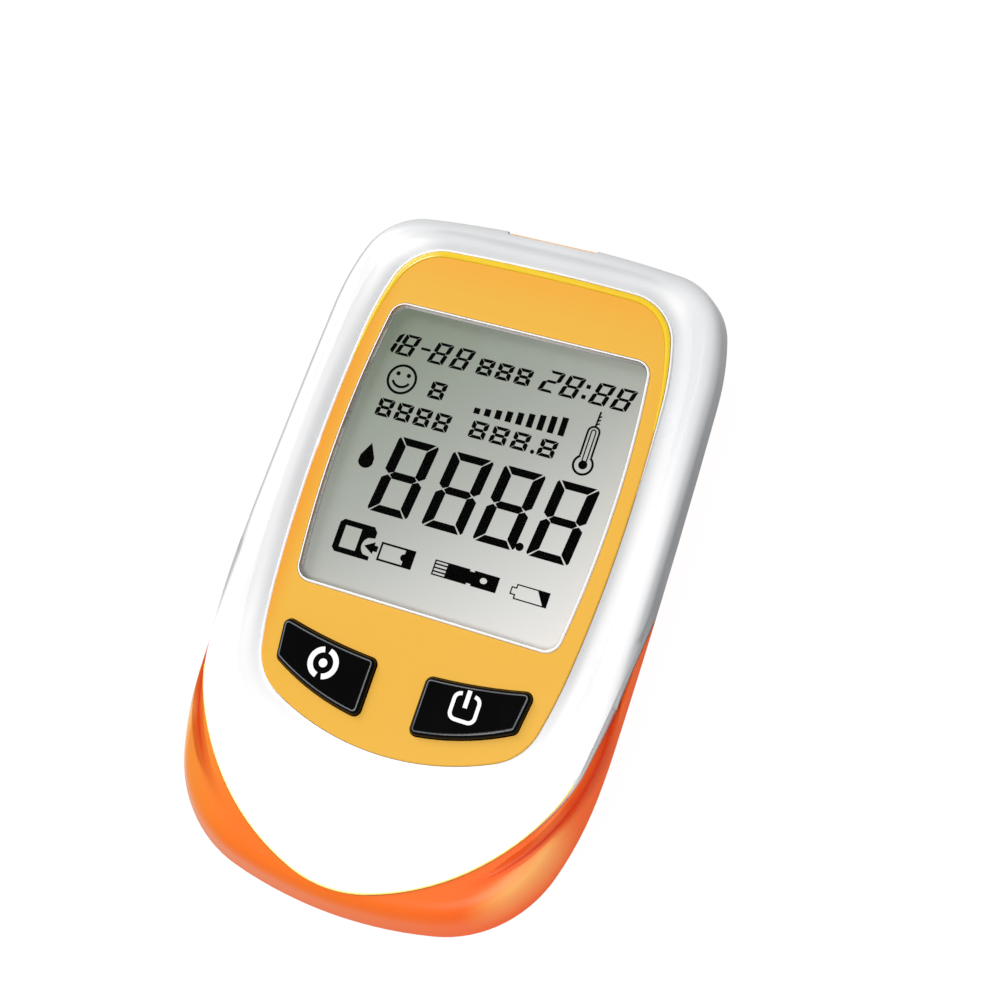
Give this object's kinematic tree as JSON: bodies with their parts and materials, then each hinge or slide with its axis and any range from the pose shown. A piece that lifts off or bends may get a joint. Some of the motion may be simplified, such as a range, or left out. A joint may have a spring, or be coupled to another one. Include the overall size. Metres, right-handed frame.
{
  "type": "blood glucose meter",
  "caption": "Hand-held blood glucose meter: white shell over an orange fender, amber face with LCD window and black keys, test strip port, sliding battery door.",
  "frame": {"origin": "on the table plane under the feet, at the middle of the body's length and width", "axes": "+X to the right and +Y to the strip port as the display is read, +Z out of the display"},
  "size_m": [0.0576, 0.0939, 0.0213],
  "materials": {
    "white_shell": "smooth white",
    "orange_shell": "smooth orange",
    "amber_plate": "smooth amber",
    "window": "clear",
    "display_glass": "clear grey-green",
    "reflector": "pearly grey-green",
    "black_key": "black",
    "holder": "pale grey",
    "elastomer": "dark striped",
    "switch_body": "black",
    "switch_plunger": "ivory",
    "circuit_board": "green solder mask",
    "chip": "black moulded",
    "steel": "bright",
    "passives": "tan ceramic",
    "buzzer_case": "black",
    "socket": "ivory",
    "gold_contact": "gold plated",
    "cell_jacket": "dark grey with a copper band",
    "foot_rubber": "dark grey"
  },
  "bodies": {
    "housing": {"top_shell": "white_shell", "rear_shell": "orange_shell", "face_plate": "amber_plate", "display_window": "window", "lcd_front_glass": "display_glass", "lcd_rear_glass": "display_glass", "lcd_reflector": "reflector", "lcd_frame": "holder", "zebra_strips": "elastomer", "switch_bodies": "switch_body", "main_board": "circuit_board", "main_chip": "chip", "memory_chip": "chip", "crystal": "steel", "board_passives": "passives", "buzzer": "buzzer_case", "strip_connector": "socket", "strip_contacts": "gold_contact", "strip_port_guide": "orange_shell", "battery_left": "cell_jacket", "battery_right": "cell_jacket", "battery_springs": "steel", "battery_plates": "steel", "housing_screws": "steel", "board_screws": "steel", "rubber_feet": "foot_rubber"},
    "memory_key": {"memory_button": "black_key", "left_switch_plunger": "switch_plunger"},
    "power_key": {"power_button": "black_key", "right_switch_plunger": "switch_plunger"},
    "door": {"battery_door": "orange_shell"}
  },
  "joints": [
    {"name": "memory_press", "type": "slide", "parent": "housing", "child": "memory_key", "axis": [0, 0, -1], "range_m": [0, 0.0004], "stiffness_N_per_m": 600, "springref_m": -0.0003},
    {"name": "power_press", "type": "slide", "parent": "housing", "child": "power_key", "axis": [0, 0, -1], "range_m": [0, 0.0004], "stiffness_N_per_m": 600, "springref_m": -0.0003},
    {"name": "door_slide", "type": "slide", "parent": "housing", "child": "door", "axis": [0, -1, 0], "range_m": [0, 0.056]}
  ]
}
